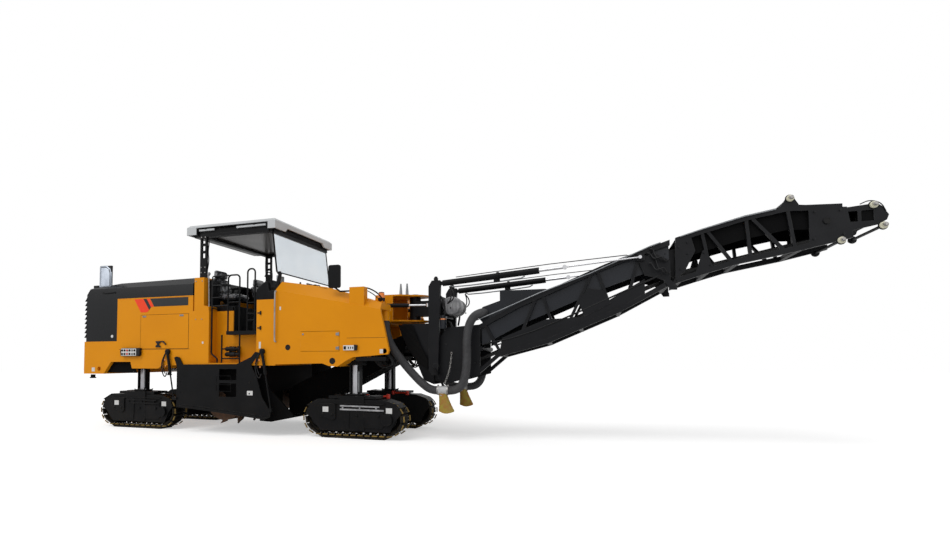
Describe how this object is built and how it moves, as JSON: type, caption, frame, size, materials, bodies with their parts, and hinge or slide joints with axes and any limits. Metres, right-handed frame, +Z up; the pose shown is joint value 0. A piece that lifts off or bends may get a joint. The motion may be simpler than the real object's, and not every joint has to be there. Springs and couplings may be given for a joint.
{
  "type": "cold planer",
  "caption": "Four-crawler cold planer (road milling machine) with canopy, milling drum and slewing, folding front conveyor boom, in yellow and black.",
  "frame": {"origin": "on the ground, in the middle of the overall length and width", "axes": "+X forward, towards the conveyor's tip; +Y to the machine's left; +Z up"},
  "size_m": [13.69, 2.638, 3.95],
  "materials": {
    "body_yellow": "satin",
    "hood_black": "gloss",
    "frame_black": "satin",
    "boom_black": "satin",
    "roof_grey": "satin",
    "engine_grey": "cast",
    "seat_cover": "soft",
    "console_black": "matte",
    "drum_steel": "worn",
    "windshield_glass": "clear",
    "chrome_rod": "polished",
    "belt_rubber": "matte",
    "roller_cream": "gloss",
    "hose_grey": "matte",
    "tee_grey": "satin",
    "track_rubber": "worn"
  },
  "bodies": {
    "chassis": {"rear_body": "body_yellow", "mid_body": "body_yellow", "front_body": "body_yellow", "engine_block": "engine_grey", "leg_housings": "frame_black", "platform": "frame_black", "seats": "seat_cover", "console": "console_black", "ladders": "frame_black", "drum_housing": "frame_black", "primary_conveyor": "frame_black", "slew_bracket": "body_yellow", "mirrors_front": "frame_black", "side_plate_barrels": "frame_black"},
    "hood": {"engine_hood": "hood_black"},
    "door_right": {"service_door_right": "body_yellow"},
    "door_left": {"service_door_left": "body_yellow"},
    "hatch_right": {"front_hatch_right": "body_yellow"},
    "hatch_left": {"front_hatch_left": "body_yellow"},
    "drum": {"milling_drum": "drum_steel"},
    "side_right": {"side_plate_right": "frame_black"},
    "side_left": {"side_plate_left": "frame_black"},
    "canopy": {"canopy_frame": "frame_black", "canopy_roof": "roof_grey", "windshield": "windshield_glass"},
    "conveyor_support": {"pivot_frame": "boom_black", "hose_tees": "tee_grey", "hose_lower_right": "hose_grey", "hose_lower_left": "hose_grey", "hose_upper_right": "hose_grey", "hose_upper_left": "hose_grey"},
    "slew_barrel_r": {"slew_barrel_right": "frame_black"},
    "slew_barrel_l": {"slew_barrel_left": "frame_black"},
    "slew_rod_r": {"slew_rod_right": "chrome_rod"},
    "slew_rod_l": {"slew_rod_left": "chrome_rod"},
    "boom": {"boom_truss": "boom_black", "boom_casing": "boom_black", "boom_belt": "belt_rubber"},
    "boom_barrels": {"lift_barrels": "frame_black"},
    "boom_rods": {"lift_rods": "chrome_rod"},
    "tip": {"tip_truss": "boom_black", "tip_belt": "boom_black", "tip_guide_wheels": "roller_cream"},
    "leg_body_front_right": {"leg_front_right": "chrome_rod"},
    "crawler_body_front_right": {"crawler_front_right": "frame_black", "track_front_right": "track_rubber"},
    "leg_body_front_left": {"leg_front_left": "chrome_rod"},
    "crawler_body_front_left": {"crawler_front_left": "frame_black", "track_front_left": "track_rubber"},
    "leg_body_rear_right": {"leg_rear_right": "chrome_rod"},
    "crawler_body_rear_right": {"crawler_rear_right": "frame_black", "track_rear_right": "track_rubber"},
    "leg_body_rear_left": {"leg_rear_left": "chrome_rod"},
    "crawler_body_rear_left": {"crawler_rear_left": "frame_black", "track_rear_left": "track_rubber"}
  },
  "joints": [
    {"name": "lift_front_right", "type": "slide", "parent": "chassis", "child": "leg_body_front_right", "axis": [0, 0, 1], "range_m": [-0.08, 0.4]},
    {"name": "lift_front_left", "type": "slide", "parent": "chassis", "child": "leg_body_front_left", "axis": [0, 0, 1], "range_m": [-0.08, 0.4]},
    {"name": "lift_rear_right", "type": "slide", "parent": "chassis", "child": "leg_body_rear_right", "axis": [0, 0, 1], "range_m": [-0.08, 0.4]},
    {"name": "lift_rear_left", "type": "slide", "parent": "chassis", "child": "leg_body_rear_left", "axis": [0, 0, 1], "range_m": [-0.08, 0.4]},
    {"name": "steer_front_right", "type": "hinge", "parent": "leg_body_front_right", "child": "crawler_body_front_right", "pos_m": [-0.925, -0.857, 0.7317], "axis": [0, 0, 1], "range_deg": [-20, 20]},
    {"name": "steer_front_left", "type": "hinge", "parent": "leg_body_front_left", "child": "crawler_body_front_left", "pos_m": [-0.925, 0.857, 0.7317], "axis": [0, 0, 1], "range_deg": [-20, 20]},
    {"name": "steer_rear_right", "type": "hinge", "parent": "leg_body_rear_right", "child": "crawler_body_rear_right", "pos_m": [-5.645, -0.857, 0.7317], "axis": [0, 0, 1], "range_deg": [-20, 20]},
    {"name": "steer_rear_left", "type": "hinge", "parent": "leg_body_rear_left", "child": "crawler_body_rear_left", "pos_m": [-5.645, 0.857, 0.7317], "axis": [0, 0, 1], "range_deg": [-20, 20]},
    {"name": "drum_turn", "type": "hinge", "parent": "chassis", "child": "drum", "pos_m": [-3.575, 0, 0.64], "axis": [0, 1, 0], "continuous": true},
    {"name": "side_plate_lift_right", "type": "slide", "parent": "chassis", "child": "side_right", "axis": [-0.1838, 0, 0.983], "range_m": [0, 0.3]},
    {"name": "side_plate_lift_left", "type": "slide", "parent": "chassis", "child": "side_left", "axis": [-0.1838, 0, 0.983], "range_m": [0, 0.3]},
    {"name": "hood_open", "type": "hinge", "parent": "chassis", "child": "hood", "pos_m": [-4.125, 0, 2.93], "axis": [0, 1, 0], "range_deg": [0, 40]},
    {"name": "service_door_right", "type": "hinge", "parent": "chassis", "child": "door_right", "pos_m": [-5.3797, -1.25, 1.905], "axis": [0, 0, 1], "range_deg": [-105, 0]},
    {"name": "front_hatch_right", "type": "hinge", "parent": "chassis", "child": "hatch_right", "pos_m": [-1.8147, -1.25, 1.675], "axis": [0, 0, 1], "range_deg": [-105, 0]},
    {"name": "service_door_left", "type": "hinge", "parent": "chassis", "child": "door_left", "pos_m": [-5.3797, 1.25, 1.905], "axis": [0, 0, -1], "range_deg": [-105, 0]},
    {"name": "front_hatch_left", "type": "hinge", "parent": "chassis", "child": "hatch_left", "pos_m": [-1.8147, 1.25, 1.675], "axis": [0, 0, -1], "range_deg": [-105, 0]},
    {"name": "canopy_lower", "type": "slide", "parent": "chassis", "child": "canopy", "axis": [0, 0, 1], "range_m": [-0.55, 0]},
    {"name": "conveyor_slew", "type": "hinge", "parent": "chassis", "child": "conveyor_support", "pos_m": [-0.105, 0, 2.3], "axis": [0, 0, 1], "range_deg": [-30, 30], "deforming": ["hose_lower_right", "hose_lower_left"]},
    {"name": "boom_lift", "type": "hinge", "parent": "conveyor_support", "child": "boom", "pos_m": [0.455, 0, 1.25], "axis": [0, -1, 0], "range_deg": [-18, 10], "deforming": ["hose_upper_right", "hose_upper_left"]},
    {"name": "tip_fold", "type": "hinge", "parent": "boom", "child": "tip", "pos_m": [4.175, 0, 2.452], "axis": [0, 1, 0], "range_deg": [0, 150]},
    {"name": "slew_barrel_swing_right", "type": "hinge", "parent": "chassis", "child": "slew_barrel_r", "pos_m": [-0.615, -0.6, 2.32], "axis": [0, 0, 1], "range_deg": [-8.4, 8.4]},
    {"name": "slew_rod_slide_right", "type": "slide", "parent": "slew_barrel_r", "child": "slew_rod_r", "axis": [0.9746, 0.224, 0], "range_m": [-0.244, 0.244]},
    {"name": "slew_barrel_swing_left", "type": "hinge", "parent": "chassis", "child": "slew_barrel_l", "pos_m": [-0.615, 0.6, 2.32], "axis": [0, 0, 1], "range_deg": [-8.4, 8.4]},
    {"name": "slew_rod_slide_left", "type": "slide", "parent": "slew_barrel_l", "child": "slew_rod_l", "axis": [0.9746, -0.224, 0], "range_m": [-0.244, 0.244]},
    {"name": "lift_barrel_swing", "type": "hinge", "parent": "conveyor_support", "child": "boom_barrels", "pos_m": [0.475, 0, 2.66], "axis": [0, -1, 0], "range_deg": [-18.1, 10.1]},
    {"name": "lift_rod_slide", "type": "slide", "parent": "boom_barrels", "child": "boom_rods", "axis": [0.9967, 0, 0.0815], "range_m": [-0.245, 0.441]}
  ],
  "couplings": [
    {"joint": "steer_front_left", "follows": "steer_front_right", "ratio": 1},
    {"joint": "steer_rear_left", "follows": "steer_rear_right", "ratio": 1},
    {"joint": "slew_barrel_swing_right", "follows": "conveyor_slew", "ratio": 0.2792},
    {"joint": "slew_barrel_swing_left", "follows": "conveyor_slew", "ratio": 0.2792},
    {"joint": "slew_rod_slide_right", "follows": "conveyor_slew", "m_per_rad": 0.4652},
    {"joint": "slew_rod_slide_left", "follows": "conveyor_slew", "m_per_rad": -0.4652},
    {"joint": "lift_barrel_swing", "follows": "boom_lift", "ratio": 1.0036},
    {"joint": "lift_rod_slide", "follows": "boom_lift", "m_per_rad": -1.403}
  ]
}
